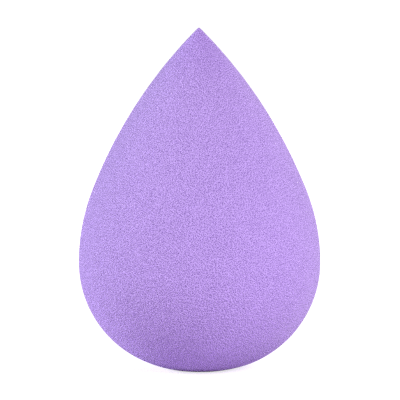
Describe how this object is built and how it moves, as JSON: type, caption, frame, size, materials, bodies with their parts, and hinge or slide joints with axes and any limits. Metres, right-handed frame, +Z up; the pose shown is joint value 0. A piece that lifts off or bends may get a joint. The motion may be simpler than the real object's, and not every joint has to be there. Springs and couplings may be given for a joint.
{
  "type": "makeup sponge",
  "caption": "Teardrop makeup sponge of fine open-cell foam: a pointed tip for small areas, a broad round end for patting, and a small flat to stand on.",
  "frame": {"origin": "centre of the small flat that the sponge stands on, at the bottom of its round end", "axes": "+Z up the long axis from the round end to the tip; the body is turned about Z, so +X and +Y are any two square directions across it"},
  "size_m": [0.0426, 0.0426, 0.06],
  "materials": {
    "foam": "matte"
  },
  "bodies": {
    "root": {"foam_body": "foam"}
  },
  "joints": []
}
